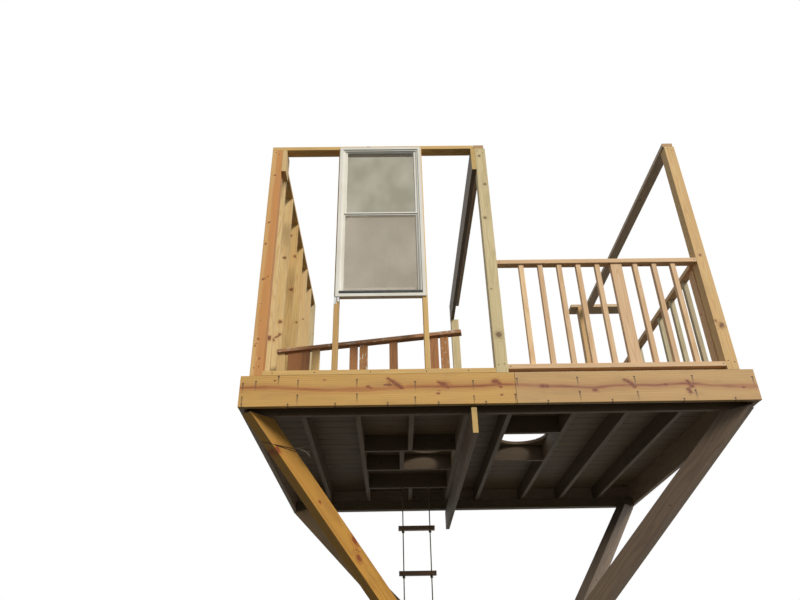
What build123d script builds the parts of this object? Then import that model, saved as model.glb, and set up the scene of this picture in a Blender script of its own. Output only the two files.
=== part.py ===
from build123d import *
import math
import os

# Tree house on a platform that two trunks and four knee braces hold up.
# Sizes are millimetres. The house frame has x from the left end of the platform,
# y from its front face towards the back and z up from the top of the floor.

# Lumber sections
TWO_BY = 38.0
TWO_FOUR = 89.0
TWO_SIX = 140.0
TWO_EIGHT = 184.0
TWO_TEN = 235.0
POST = 89.0
RAIL_STOCK = 64.0
PICKET = 38.0
EASED_EDGE = 3.0

# Platform
DECK_WIDTH = 3658.0
DECK_DEPTH = 3048.0
DECKING = 25.0
JOIST_CENTRES = 406.4
FRONT_JOINT_X = 1944.0
BOARD_GAP = 3.0
CROSS_BEAM_SETBACK = 92.0

# Trunk places, and the floor framing's clearances to them
LEFT_TRUNK = (1388.0, 1498.0)
RIGHT_TRUNK = (2197.0, 1290.0)
TRUNK_RADIUS = 205.0
TRUNK_HOLE_RADIUS = 214.0
HEADER_CLEARANCE = 40.0
TRIMMER_CLEARANCE = 5.0
RIGHT_JOIST_CLEARANCE = 10.0
RIGHT_FRONT_HEADER_CLEARANCE = 232.0
RIGHT_BACK_HEADER_CLEARANCE = 26.0
LADDER_HEADER_SETBACK = 687.0
BACK_TRIMMER_OFFSET = 163.0
TRUNK_BEAM_CLEARANCE = 29.0

# Walls and posts
POST_HEIGHT = 2137.0
LEFT_WALL_X = 60.0
MIDDLE_POST_X = 1817.0
RIGHT_POST_SETBACK = 92.0
BACK_ROW_SETBACK = 309.0
STUD_CENTRES = 406.4
FIRST_STUD_Y = 250.0
CORNER_BLOCK_LENGTH = 140.0
MIDDLE_PLATE_SHIFT = 12.0
RIGHT_PLATE_SHIFT = 11.0

# Window
WINDOW_LEFT = 647.0
WINDOW_WIDTH = 696.0
WINDOW_SILL_Z = 640.0
WINDOW_HEIGHT = 1515.0
FLANGE_LAP = 30.0
FLANGE_INNER_LAP = 10.0
FLANGE_THICKNESS = 12.0
WINDOW_DEPTH = 80.0
WINDOW_FRAME_FACE = 18.0
SASH_FACE = 18.0
SASH_FOOT = 45.0
MEETING_RAIL_SHARE = 0.536
SASH_THICKNESS = 30.0
SASH_SETBACK = 6.0
SASH_GAP = 1.0
PANE_THICKNESS = 6.0

# Railings
RAIL_TOP_Z = 966.0
BOTTOM_RAIL_LIFT = 27.0
PICKET_CENTRES = 149.3
WIDE_PICKET = 5
SIDE_PICKET_CENTRES = 300.0
SIDE_FIRST_PICKET_Y = 286.0
END_STUD_GAP = 14.0

# Back corner of the porch
PORCH_POST_INSET = 112.0
PORCH_POST_SETBACK = 159.0
CROSS_ARM_LENGTH = 671.0
CROSS_ARM_OVERHANG = 80.0

# Knee braces
BRACE_WIDTH = 89.0
BRACE_DEPTH = TWO_SIX
FRONT_LEFT_BRACE_DROP = 1680.0
FRONT_RIGHT_BRACE_DROP = 1660.0
BACK_LEFT_BRACE_DROP = 1530.0
BACK_RIGHT_BRACE_DROP = 1760.0
BRACE_CORNER_INSET = 122.0

# Old rail inside the house: its two ends, and places along it as shares of its length
OLD_RAIL_LEFT_GAP = 6.0
OLD_RAIL_LEFT_Y = 511.0
OLD_RAIL_RIGHT_GAP = 207.0
OLD_RAIL_RIGHT_Y = 209.0
OLD_UPRIGHTS = (0.0, 0.195, 0.404, 0.458, 0.619, 0.834, 0.888)
OLD_PANEL = (0.06, 0.182)
OLD_RAIL_HEIGHT = 450.0
OLD_RAIL_CAP = 30.0
OLD_RAIL_CAP_WIDTH = 60.0
OLD_PICKET = 64.0
OLD_PICKET_THICKNESS = 19.0

# Rope ladder
LADDER_X = 1290.0
RUNG_LENGTH = 350.0
RUNG_SPACING = 410.0
FIRST_RUNG_DROP = 563.0
RUNG_COUNT = 3
ROPE_DIAMETER = 12.0
ROPE_SPREAD = 260.0
ROPE_CLEARANCE = 0.3
KNOT_DIAMETER = 30.0
KNOT_LENGTH = 26.0

# Bolts into the trunks
BOLT_DIAMETER = 19.0
BOLT_HEAD = 30.0
BOLT_HEAD_THICKNESS = 12.0
WASHER_DIAMETER = 50.0
WASHER_THICKNESS = 4.0
BOLT_SPACING = 220.0

# Levels that follow from the sections
RIM_BOTTOM = -TWO_TEN
JOIST_TOP = -DECKING
JOIST_BOTTOM = JOIST_TOP - TWO_SIX
CROSS_BEAM_BOTTOM = JOIST_BOTTOM - TWO_FOUR
TRUNK_BEAM_BOTTOM = CROSS_BEAM_BOTTOM - TWO_EIGHT
TOP_BEAM_BOTTOM = POST_HEIGHT - TWO_TEN
PLATE_TOP = POST_HEIGHT + TWO_BY
RAIL_UNDERSIDE = RAIL_TOP_Z - TWO_BY
BOTTOM_RAIL_TOP = BOTTOM_RAIL_LIFT + TWO_BY

# Places that follow from the platform
INNER_RIGHT = DECK_WIDTH - TWO_BY
INNER_BACK = DECK_DEPTH - TWO_BY
RIGHT_POST_X = DECK_WIDTH - RIGHT_POST_SETBACK - POST
BACK_ROW_Y = DECK_DEPTH - BACK_ROW_SETBACK - POST
PORCH_POST = (RIGHT_POST_X - PORCH_POST_INSET, DECK_DEPTH - PORCH_POST_SETBACK - POST)
TRUNK_BEAM_X = LEFT_TRUNK[0] + TRUNK_RADIUS + TRUNK_BEAM_CLEARANCE
LEFT_BLOCK_X = LEFT_WALL_X + POST
MIDDLE_BEAM_X = MIDDLE_POST_X - TWO_BY
BACK_POST_FACE = BACK_ROW_Y + POST
STUD_COUNT = int((BACK_ROW_Y - FIRST_STUD_Y - TWO_BY) / STUD_CENTRES) + 1

# Floor framing round the trunks: a bay lies between two full joists
LAST_JOIST = int((INNER_RIGHT - TWO_BY) / JOIST_CENTRES)
RIGHT_BAY_START = RIGHT_TRUNK[0] - TRUNK_HOLE_RADIUS - RIGHT_JOIST_CLEARANCE
TRUNK_JOIST = RIGHT_BAY_START - TWO_BY / 2
LEFT_TRIMMER_X = LEFT_TRUNK[0] - TRUNK_HOLE_RADIUS - TRIMMER_CLEARANCE - TWO_BY
BACK_TRIMMER_X = LEFT_TRUNK[0] - BACK_TRIMMER_OFFSET
LEFT_HEADERS = (
    LEFT_TRUNK[1] - TRUNK_HOLE_RADIUS - HEADER_CLEARANCE - TWO_BY,
    LEFT_TRUNK[1] + TRUNK_HOLE_RADIUS + HEADER_CLEARANCE,
    DECK_DEPTH - LADDER_HEADER_SETBACK,
)
RIGHT_HEADERS = (
    RIGHT_TRUNK[1] - TRUNK_HOLE_RADIUS - RIGHT_FRONT_HEADER_CLEARANCE - TWO_BY,
    RIGHT_TRUNK[1] + TRUNK_HOLE_RADIUS + RIGHT_BACK_HEADER_CLEARANCE,
)

# The origin lies on the trunk beam's bolting face, halfway up and level with the trunk
ORIGIN = Vector(TRUNK_BEAM_X, LEFT_TRUNK[1], CROSS_BEAM_BOTTOM - TWO_EIGHT / 2)


def board(x, y, z):
    """Lumber that fills the three ranges, with its four long edges eased."""
    size = [high - low for low, high in (x, y, z)]
    centre = Vector(*[(low + high) / 2 for low, high in (x, y, z)]) - ORIGIN
    axis = size.index(max(size))
    sides = {
        0: (Plane.YZ, size[1], size[2]),
        1: (Plane.XZ, size[0], size[2]),
        2: (Plane.XY, size[0], size[1]),
    }
    plane, wide, deep = sides[axis]
    section = plane * RectangleRounded(wide, deep, EASED_EDGE)
    return Pos(centre) * extrude(section, size[axis] / 2, both=True)


def span(start, length):
    """Range that begins at start and has the length."""
    return (start, start + length)


def about(centre, width):
    """Range of the width with the centre in its middle."""
    return (centre - width / 2, centre + width / 2)


def joist_centre(number):
    """Middle of a joist, counted from the left end of the platform."""
    return number * JOIST_CENTRES


def write(node, solids):
    """Export the solids of one sub-part."""
    export_step(Compound(label=node, children=list(solids)), f"parts/{node}.step")


def rims():
    """Rim boards around the platform, the front one in two lengths."""
    height = (RIM_BOTTOM, 0.0)
    front = [
        board((0.0, FRONT_JOINT_X - BOARD_GAP / 2), (0.0, TWO_BY), height),
        board((FRONT_JOINT_X + BOARD_GAP / 2, DECK_WIDTH), (0.0, TWO_BY), height),
    ]
    back = [board((0.0, DECK_WIDTH), (INNER_BACK, DECK_DEPTH), height)]
    sides = [
        board(span(x, TWO_BY), (TWO_BY, INNER_BACK), height)
        for x in (0.0, INNER_RIGHT)
    ]
    return {"rim_front": front, "rim_back": back, "rim_sides": sides}


def joist_before(x):
    """Middle of the last joist that lies wholly to the left of the place."""
    return joist_centre(int((x - TWO_BY / 2) / JOIST_CENTRES))


def joist_after(x):
    """Middle of the first joist that lies wholly to the right of the place."""
    return joist_centre(math.ceil((x + TWO_BY / 2) / JOIST_CENTRES))


def trunk_bays():
    """Ranges between the full joists on either side of the left and the right trunk."""
    half = TWO_BY / 2
    left_end = min(joist_after(LEFT_TRUNK[0] + TRUNK_HOLE_RADIUS), TRUNK_JOIST)
    left = (joist_before(LEFT_TRUNK[0] - TRUNK_HOLE_RADIUS) + half, left_end - half)
    right_end = joist_after(RIGHT_TRUNK[0] + TRUNK_HOLE_RADIUS)
    return left, (RIGHT_BAY_START, right_end - half)


def inside(x, pair):
    """True where the place lies in the range."""
    return pair[0] < x < pair[1]


def joists():
    """Full joists, and the short ones that meet the headers round a trunk."""
    height = (JOIST_BOTTOM, JOIST_TOP)
    full_length = (TWO_BY, INNER_BACK)
    left_bay, right_bay = trunk_bays()
    spaced = [joist_centre(n) for n in range(1, LAST_JOIST + 1)]
    cut = [x for x in spaced if inside(x, left_bay)]
    displaced = (TRUNK_JOIST - TWO_BY * 2, right_bay[1])
    centres = [x for x in spaced if x not in cut and not inside(x, displaced)]
    centres.append(TRUNK_JOIST)
    full = [board(about(x, TWO_BY), full_length, height) for x in centres]
    short = [
        board(about(x, TWO_BY), (TWO_BY, LEFT_HEADERS[0]), height) for x in cut
    ]
    short += [
        board(
            span(LEFT_TRIMMER_X, TWO_BY),
            (LEFT_HEADERS[0] + TWO_BY, LEFT_HEADERS[1]),
            height,
        ),
        board(
            span(BACK_TRIMMER_X, TWO_BY),
            (LEFT_HEADERS[2] + TWO_BY, INNER_BACK),
            height,
        ),
    ]
    headers = [board(left_bay, span(y, TWO_BY), height) for y in LEFT_HEADERS]
    headers += [board(right_bay, span(y, TWO_BY), height) for y in RIGHT_HEADERS]
    return {"floor_joists": full, "trunk_trimmers": short, "trunk_headers": headers}


def decking():
    """Floor slab inside the rims, cut out round both trunks."""
    slab = board((TWO_BY, INNER_RIGHT), (TWO_BY, INNER_BACK), (-DECKING, 0.0))
    for x, y in (LEFT_TRUNK, RIGHT_TRUNK):
        slab -= Pos(Vector(x, y, -DECKING / 2) - ORIGIN) * Cylinder(
            TRUNK_HOLE_RADIUS, DECKING * 2
        )
    return {"deck_boards": [slab]}


def under_beams():
    """Cross beams under the joists, and the beam that is bolted to the trunk."""
    height = (CROSS_BEAM_BOTTOM, JOIST_BOTTOM)
    front_y = TWO_BY + CROSS_BEAM_SETBACK
    back_y = INNER_BACK - CROSS_BEAM_SETBACK - TWO_BY
    across = (TWO_BY, INNER_RIGHT)
    cross = [board(across, span(y, TWO_BY), height) for y in (front_y, back_y)]
    beam = board(
        span(TRUNK_BEAM_X, TWO_BY),
        (TWO_BY / 2, INNER_BACK),
        (TRUNK_BEAM_BOTTOM, CROSS_BEAM_BOTTOM),
    )
    bolts = []
    for side in (-1, 1):
        centre = Vector(TRUNK_BEAM_X, LEFT_TRUNK[1] + side * BOLT_SPACING / 2, ORIGIN.Z)
        place = Pos(centre - ORIGIN) * Rot(0, 90, 0)
        beam -= place * Cylinder(BOLT_DIAMETER / 2, TWO_BY * 3)
        bolts.append(place * trunk_bolt())
    return {"cross_beams": cross, "trunk_beam": [beam], "trunk_bolts": bolts}


def trunk_bolt():
    """Bolt along its own z, from the trunk's side up to its head."""
    up = (Align.CENTER, Align.CENTER, Align.MIN)
    shank = Cylinder(BOLT_DIAMETER / 2, TWO_BY, align=up)
    washer = Pos(0, 0, TWO_BY) * Cylinder(WASHER_DIAMETER / 2, WASHER_THICKNESS, align=up)
    head = Pos(0, 0, TWO_BY + WASHER_THICKNESS) * extrude(
        RegularPolygon(BOLT_HEAD / 2, 6, major_radius=False), BOLT_HEAD_THICKNESS
    )
    return shank + washer + head


def brace(corner, trunk, foot_drop):
    """Knee brace from under a platform corner to the side of a trunk."""
    run = Vector(trunk[0] - corner[0], trunk[1] - corner[1], 0)
    heading = run.normalized()
    foot = Vector(trunk[0], trunk[1], -foot_drop) - heading * TRUNK_RADIUS
    top = Vector(corner[0], corner[1], CROSS_BEAM_BOTTOM)
    slope = (foot - top).normalized()
    across = heading.cross(Vector(0, 0, 1))
    along = Plane(origin=top - ORIGIN, x_dir=across, z_dir=slope)
    section = along * RectangleRounded(BRACE_WIDTH, BRACE_DEPTH, EASED_EDGE)
    extra = BRACE_DEPTH * 3
    timber = extrude(section, (foot - top).length + extra)
    timber += extrude(section, -extra)
    big = DECK_WIDTH
    above = Pos(top - ORIGIN + Vector(0, 0, big)) * Box(big * 2, big * 2, big * 2)
    plumb = Plane(origin=foot - ORIGIN, x_dir=across, z_dir=heading)
    beyond = plumb * Box(big, big, big, align=(Align.CENTER, Align.CENTER, Align.MIN))
    return timber - above - beyond


def braces():
    """Two front braces and two back braces, one under each corner."""
    left = BRACE_CORNER_INSET
    right = DECK_WIDTH - BRACE_CORNER_INSET
    front = BRACE_CORNER_INSET + TWO_BY / 2
    back = DECK_DEPTH - front
    return {
        "brace_front_left": [brace((left, front), LEFT_TRUNK, FRONT_LEFT_BRACE_DROP)],
        "brace_front_right": [
            brace((right, front), RIGHT_TRUNK, FRONT_RIGHT_BRACE_DROP)
        ],
        "brace_back_left": [brace((left, back), LEFT_TRUNK, BACK_LEFT_BRACE_DROP)],
        "brace_back_right": [
            brace((right, back), RIGHT_TRUNK, BACK_RIGHT_BRACE_DROP)
        ],
    }


def posts():
    """Posts of the front wall, of the back row and of the porch corner."""
    tall = (0.0, POST_HEIGHT)
    under_beam = (0.0, TOP_BEAM_BOTTOM)
    front = (0.0, POST)
    back = (BACK_ROW_Y, BACK_POST_FACE)
    return {
        "post_front_left": [board(span(LEFT_WALL_X, POST), front, tall)],
        "post_front_middle": [board(span(MIDDLE_POST_X, POST), front, tall)],
        "post_front_right": [board(span(RIGHT_POST_X, POST), front, tall)],
        "post_back_left": [board(span(LEFT_WALL_X, POST), back, tall)],
        "post_back_middle": [board(span(MIDDLE_BEAM_X, POST), back, under_beam)],
        "post_porch_back": [
            board(span(PORCH_POST[0], POST), span(PORCH_POST[1], POST), tall)
        ],
    }


def plates():
    """Sole plates on the floor, and top plates over the posts."""
    sole = (0.0, TWO_BY)
    top = (POST_HEIGHT, PLATE_TOP)
    left_wall = span(LEFT_WALL_X, TWO_FOUR)
    middle_x = MIDDLE_POST_X - MIDDLE_PLATE_SHIFT
    right_x = RIGHT_POST_X - RIGHT_PLATE_SHIFT
    left_wall_run = (TWO_FOUR + BOARD_GAP, BACK_POST_FACE)
    return {
        "sole_plate_front": [
            board((LEFT_WALL_X + POST, MIDDLE_POST_X), (0.0, TWO_FOUR), sole)
        ],
        "sole_plate_left": [board(left_wall, (POST, BACK_ROW_Y), sole)],
        "top_plate_front": [
            board((LEFT_WALL_X, middle_x - BOARD_GAP), (0.0, TWO_FOUR), top)
        ],
        "top_plate_left": [board(left_wall, left_wall_run, top)],
        "top_plate_middle": [
            board(span(middle_x, TWO_FOUR), (0.0, BACK_POST_FACE), top)
        ],
        "top_plate_right": [
            board(span(right_x, TWO_FOUR), (0.0, PORCH_POST[1]), top)
        ],
        "back_cross_arm": [
            board(
                span(PORCH_POST[0] - CROSS_ARM_OVERHANG, CROSS_ARM_LENGTH),
                span(PORCH_POST[1], TWO_EIGHT),
                top,
            )
        ],
    }


def top_beams():
    """Middle beam on edge from the front to its back post, and a short block beside the left post."""
    height = (TOP_BEAM_BOTTOM, POST_HEIGHT)
    block = (0.0, CORNER_BLOCK_LENGTH)
    length = (0.0, BACK_POST_FACE)
    return {
        "corner_block": [board(span(LEFT_BLOCK_X, TWO_BY), block, height)],
        "beam_middle": [board(span(MIDDLE_BEAM_X, TWO_BY), length, height)],
    }


def studs():
    """Open stud wall on the left, and the two studs beside the window."""
    wall = span(LEFT_WALL_X, TWO_FOUR)
    tall = (TWO_BY, POST_HEIGHT)
    left = [
        board(wall, span(FIRST_STUD_Y + n * STUD_CENTRES, TWO_BY), tall)
        for n in range(STUD_COUNT)
    ]
    window_right = WINDOW_LEFT + WINDOW_WIDTH
    beside = [
        board(
            (WINDOW_LEFT + FLANGE_LAP - TWO_BY, WINDOW_LEFT + FLANGE_LAP),
            (0.0, TWO_FOUR),
            tall,
        ),
        board(span(window_right - FLANGE_LAP, TWO_BY), (0.0, TWO_FOUR), tall),
    ]
    return {"wall_studs_left": left, "window_studs": beside}


def ring(x, z, face, y, foot=0.0):
    """Rectangular frame in the front wall: outer ranges, face width, depth and taller foot."""
    outer = Box(x[1] - x[0], y[1] - y[0], z[1] - z[0])
    inner_x = inset(x, face)
    inner_z = (z[0] + face + foot, z[1] - face)
    inner = Box(inner_x[1] - inner_x[0], (y[1] - y[0]) * 2, inner_z[1] - inner_z[0])
    place = Vector(sum(x) / 2, sum(y) / 2, sum(z) / 2) - ORIGIN
    return Pos(place) * (outer - Pos(0, 0, (sum(inner_z) - sum(z)) / 2) * inner)


def inset(pair, distance):
    """Range drawn in by the distance at both ends."""
    return (pair[0] + distance, pair[1] - distance)


def window():
    """Double-hung window: nailing flange, frame, two sashes and their panes."""
    outer_x = span(WINDOW_LEFT, WINDOW_WIDTH)
    outer_z = span(WINDOW_SILL_Z, WINDOW_HEIGHT)
    between_x = inset(outer_x, FLANGE_LAP)
    between_z = (outer_z[0] + FLANGE_LAP, POST_HEIGHT)
    flange_face = FLANGE_LAP + FLANGE_INNER_LAP
    flange = ring(outer_x, outer_z, flange_face, (-FLANGE_THICKNESS, 0.0))
    frame = ring(between_x, between_z, WINDOW_FRAME_FACE, (0.0, WINDOW_DEPTH))
    sash_x = inset(between_x, WINDOW_FRAME_FACE)
    sash_z = inset(between_z, WINDOW_FRAME_FACE)
    middle = WINDOW_SILL_Z + WINDOW_HEIGHT * MEETING_RAIL_SHARE
    upper_y = span(SASH_SETBACK, SASH_THICKNESS)
    lower_y = span(upper_y[1] + SASH_GAP, SASH_THICKNESS)
    upper_z = (middle - SASH_FACE / 2, sash_z[1])
    lower_z = (sash_z[0], middle + SASH_FACE / 2)
    panes = [
        pane(sash_x, upper_z, upper_y),
        pane(sash_x, (lower_z[0] + SASH_FOOT, lower_z[1]), lower_y),
    ]
    return {
        "window_frame": [flange, frame],
        "window_upper_sash": [ring(sash_x, upper_z, SASH_FACE, upper_y)],
        "window_lower_sash": [ring(sash_x, lower_z, SASH_FACE, lower_y, SASH_FOOT)],
        "window_panes": panes,
    }


def pane(x, z, y):
    """Glass that fills a sash."""
    wide = x[1] - x[0] - SASH_FACE * 2
    tall = z[1] - z[0] - SASH_FACE * 2
    centre = Vector(sum(x) / 2, sum(y) / 2, sum(z) / 2) - ORIGIN
    return Pos(centre) * Box(wide, PANE_THICKNESS, tall)


def front_railing():
    """Railing between the middle and right posts."""
    between = (MIDDLE_POST_X + POST, RIGHT_POST_X)
    rail_y = (0.0, RAIL_STOCK)
    rails = [
        board(between, rail_y, (RAIL_UNDERSIDE, RAIL_TOP_Z)),
        board(between, rail_y, (BOTTOM_RAIL_LIFT, BOTTOM_RAIL_TOP)),
    ]
    middle = sum(between) / 2
    count = int((between[1] - between[0]) / PICKET_CENTRES) - 1
    height = (BOTTOM_RAIL_TOP, RAIL_UNDERSIDE)
    pickets = []
    for number in range(count):
        x = middle + (number - (count - 1) / 2) * PICKET_CENTRES
        width = TWO_FOUR if number == WIDE_PICKET else PICKET
        pickets.append(board(about(x, width), about(RAIL_STOCK / 2, PICKET), height))
    return {"rails_front": rails, "pickets_front": pickets}


def side_railing():
    """Railing along the right side, from the front post to the porch's back post."""
    rail_x = span(PORCH_POST[0] + POST, RAIL_STOCK)
    end = PORCH_POST[1] + POST
    rails = [board(rail_x, (POST, end), (RAIL_UNDERSIDE, RAIL_TOP_Z))]
    count = int((end - SIDE_FIRST_PICKET_Y) / SIDE_PICKET_CENTRES) + 1
    pickets = [
        board(
            about(sum(rail_x) / 2, PICKET),
            span(SIDE_FIRST_PICKET_Y + n * SIDE_PICKET_CENTRES, PICKET),
            (0.0, RAIL_UNDERSIDE),
        )
        for n in range(count)
    ]
    end_y = span(POST + END_STUD_GAP, TWO_FOUR)
    end_stud = board(span(RIGHT_POST_X, TWO_BY), end_y, (0.0, RAIL_UNDERSIDE))
    return {"rail_side": rails, "pickets_side": pickets, "rail_end_stud": [end_stud]}


def old_rail():
    """Low rail inside the house, with uprights and one closed panel."""
    start = Vector(LEFT_WALL_X + TWO_FOUR + OLD_RAIL_LEFT_GAP, OLD_RAIL_LEFT_Y, 0)
    end = Vector(MIDDLE_POST_X - OLD_RAIL_RIGHT_GAP, OLD_RAIL_RIGHT_Y, 0)
    heading = (end - start).normalized()
    length = (end - start).length
    base = Plane(origin=start - ORIGIN, x_dir=heading, z_dir=(0, 0, 1))
    under = OLD_RAIL_HEIGHT - OLD_RAIL_CAP
    low = (Align.MIN, Align.CENTER, Align.MIN)
    cap = base * Pos(0, 0, under) * Box(length, OLD_RAIL_CAP_WIDTH, OLD_RAIL_CAP, align=low)
    upright = Box(OLD_PICKET, OLD_PICKET_THICKNESS, under, align=low)
    uprights = [base * Pos(share * length, 0, 0) * upright for share in OLD_UPRIGHTS]
    wide = (OLD_PANEL[1] - OLD_PANEL[0]) * length
    panel = base * Pos(OLD_PANEL[0] * length, 0, 0)
    panel *= Box(wide, OLD_PICKET_THICKNESS, under, align=low)
    return {"old_rail_cap": [cap], "old_rail_uprights": uprights, "old_rail_panel": [panel]}


def rope_ladder():
    """Two ropes from the hindmost header, with rungs that rest on knots."""
    rope_y = LEFT_HEADERS[2] - ROPE_DIAMETER / 2
    header_top = JOIST_TOP - TWO_SIX / 3
    rung_levels = [-FIRST_RUNG_DROP - n * RUNG_SPACING for n in range(RUNG_COUNT)]
    rope_end = rung_levels[-1] - TWO_BY / 2 - KNOT_LENGTH
    sides = [LADDER_X - ROPE_SPREAD / 2, LADDER_X + ROPE_SPREAD / 2]
    ropes = [rope(x, rope_y, rope_end, header_top) for x in sides]
    rungs = [rung(rope_y, level, sides) for level in rung_levels]
    knots = [
        knot(x, rope_y, level - TWO_BY / 2 - KNOT_LENGTH / 2)
        for level in rung_levels
        for x in sides
    ]
    return {
        "ladder_rope_left": [ropes[0]],
        "ladder_rope_right": [ropes[1]],
        "ladder_rungs": rungs,
        "ladder_knots": knots,
    }


def rope(x, y, low, high):
    """Straight hanging rope."""
    centre = Vector(x, y, (low + high) / 2) - ORIGIN
    return Pos(centre) * Cylinder(ROPE_DIAMETER / 2, high - low)


def rung(y, level, rope_places):
    """Wooden rung with a hole for each rope."""
    timber = board(about(LADDER_X, RUNG_LENGTH), about(y, RAIL_STOCK), about(level, TWO_BY))
    for x in rope_places:
        hole = Cylinder(ROPE_DIAMETER / 2 + ROPE_CLEARANCE, TWO_BY * 2)
        timber -= Pos(Vector(x, y, level) - ORIGIN) * hole
    return timber


def knot(x, y, level):
    """Knot round a rope, under a rung."""
    outer = Cylinder(KNOT_DIAMETER / 2, KNOT_LENGTH)
    outer = fillet(outer.edges(), KNOT_LENGTH / 3)
    outer -= Cylinder(ROPE_DIAMETER / 2, KNOT_LENGTH * 2)
    return Pos(Vector(x, y, level) - ORIGIN) * outer


SUB_PARTS = (
    rims,
    joists,
    decking,
    under_beams,
    braces,
    posts,
    plates,
    top_beams,
    studs,
    window,
    front_railing,
    side_railing,
    old_rail,
    rope_ladder,
)

os.makedirs("parts", exist_ok=True)
for make in SUB_PARTS:
    for node, solids in make().items():
        write(node, solids)
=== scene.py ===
import math

import bpy
import numpy as np
from mathutils import Matrix, Vector


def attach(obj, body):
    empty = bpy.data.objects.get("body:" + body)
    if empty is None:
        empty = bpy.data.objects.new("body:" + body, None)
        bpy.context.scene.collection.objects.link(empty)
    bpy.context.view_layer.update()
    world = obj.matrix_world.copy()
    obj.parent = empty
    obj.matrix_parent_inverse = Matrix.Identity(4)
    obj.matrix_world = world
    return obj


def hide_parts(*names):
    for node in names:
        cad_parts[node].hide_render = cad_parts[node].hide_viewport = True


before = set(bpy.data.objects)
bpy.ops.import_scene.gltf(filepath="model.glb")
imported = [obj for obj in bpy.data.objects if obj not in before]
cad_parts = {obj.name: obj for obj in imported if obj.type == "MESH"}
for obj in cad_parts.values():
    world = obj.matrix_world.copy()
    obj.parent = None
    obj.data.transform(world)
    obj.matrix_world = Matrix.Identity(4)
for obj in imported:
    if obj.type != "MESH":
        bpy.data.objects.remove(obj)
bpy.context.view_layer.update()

MM = 0.001
# The row frame's origin in the house frame: x from the platform's left end,
# y from its front face, z from the top of its floor, in millimetres
ORIGIN = np.array([1622.0, 1498.0, -346.0])
RNG = np.random.default_rng(11)
X, Y, Z = np.eye(3)
# Middles and radius of the round holes in the decking, how far from a hole's middle the braces end,
# and the underside of the beams that they meet
HOLES = LEFT_HOLE, RIGHT_HOLE = (1388.0, 1498.0), (2197.0, 1290.0)
HOLE_RADIUS, FOOT_RADIUS, CROSS_BEAM_BOTTOM = 214.0, 205.0, -254.0
# The way in which the old rail runs, and the way across it
OLD_RAIL = np.array([1455.0, -302.0, 0.0]) / math.hypot(1455.0, 302.0)
OLD_ACROSS = np.cross(Z, OLD_RAIL)


def place(points):
    """House millimetres to metres in the row frame."""
    return (np.asarray(points, float) - ORIGIN) * MM


# The camera and the light

CAMERA_PLACE = (1077.3, -4441.0, -2021.7)
CAMERA_PITCH, CAMERA_YAW, CAMERA_ROLL = 30.65, 0.814, -1.126
FOCAL_PIXELS, PICTURE_WIDTH = 681.5, 800
FLOOR_Z = -2350.0
SKY_LEVEL, KEY_LEVEL, KEY_TOWARDS = 0.38, 2.7, (0.46, -0.70, 0.50)


def node_adder(owner):
    """Empties the owner's node tree, and gives back the function that adds a node to it."""
    owner.use_nodes = True
    tree = owner.node_tree
    tree.nodes.clear()

    def add(kind, inputs=(), output=0, **settings):
        """Adds a node and gives back one of its outputs.

        kind is the node's type, with its operation after a space. inputs are values, hex
        colours or other nodes' sockets, in order or by the name or number of the socket.
        """
        kind, *operation = kind.split()
        made = tree.nodes.new("ShaderNode" + kind)
        if operation:
            made.operation = operation[0]
        for key, value in settings.items():
            setattr(made, key, value)
        for key, value in inputs.items() if isinstance(inputs, dict) else enumerate(inputs):
            if isinstance(value, bpy.types.NodeSocket):
                tree.links.new(value, made.inputs[key])
            else:
                made.inputs[key].default_value = linear(value) if isinstance(value, str) else value
        return made.outputs[output] if len(made.outputs) else made

    return add


def linear(colour):
    """An sRGB hex colour as linear red, green, blue and alpha."""
    parts = [int(colour[i : i + 2], 16) / 255 for i in (1, 3, 5)]
    return tuple(
        c / 12.92 if c <= 0.04045 else ((c + 0.055) / 1.055) ** 2.4 for c in parts
    ) + (1.0,)


def add_object(name, data):
    """A new object of that data, in the scene."""
    made = bpy.data.objects.new(name, data)
    bpy.context.scene.collection.objects.link(made)
    return made


def add_camera():
    """Camera at the photograph's place: it looks up at the house from below its left half."""
    pitch, yaw, roll = (math.radians(a) for a in (CAMERA_PITCH, CAMERA_YAW, CAMERA_ROLL))
    level = math.cos(pitch)
    ahead = np.array([math.sin(yaw) * level, math.cos(yaw) * level, math.sin(pitch)])
    right = np.array([math.cos(yaw), -math.sin(yaw), 0.0])
    up = np.cross(right, ahead)
    right, up = math.cos(roll) * right + math.sin(roll) * up, math.cos(roll) * up - math.sin(roll) * right
    data = bpy.data.cameras.new("camera")
    data.sensor_width = 36.0
    data.lens = data.sensor_width * FOCAL_PIXELS / PICTURE_WIDTH
    data.clip_end = 200.0
    camera = add_object("camera", data)
    basis = np.eye(4)
    basis[:3] = np.column_stack([right, up, -ahead, place(CAMERA_PLACE)])
    camera.matrix_world = Matrix(basis.tolist())
    bpy.context.scene.camera = camera


def seen_directly(add):
    """1 for a look from the camera, in a mirror or through glass, and 0 for light that falls on things."""
    rays = ("Camera", "Glossy", "Transmission")
    looks = [add("LightPath", output=f"Is {ray} Ray") for ray in rays]
    first = add("Math MAXIMUM", looks[:2])
    return add("Math MAXIMUM", [first, looks[2]])


def add_light():
    """A low, wide key from the front right, an even sky and a white background."""
    world = bpy.data.worlds.new("studio")
    bpy.context.scene.world = world
    add = node_adder(world)
    plain = add("Background", [(0.88, 0.95, 1.0, 1.0), SKY_LEVEL])
    white = add("Background", [(1.0, 1.0, 1.0, 1.0), 1.0])
    shown = add("MixShader", [seen_directly(add), plain, white])
    add("OutputWorld", [shown])
    data = bpy.data.lights.new("key", "SUN")
    data.energy = KEY_LEVEL
    data.angle = math.radians(16.0)
    data.color = (1.0, 0.955, 0.88)
    key = add_object("key", data)
    key.rotation_mode = "QUATERNION"
    key.rotation_quaternion = Vector(KEY_TOWARDS).to_track_quat("Z", "Y")
    bpy.context.scene.view_settings.view_transform = "Standard"


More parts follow.
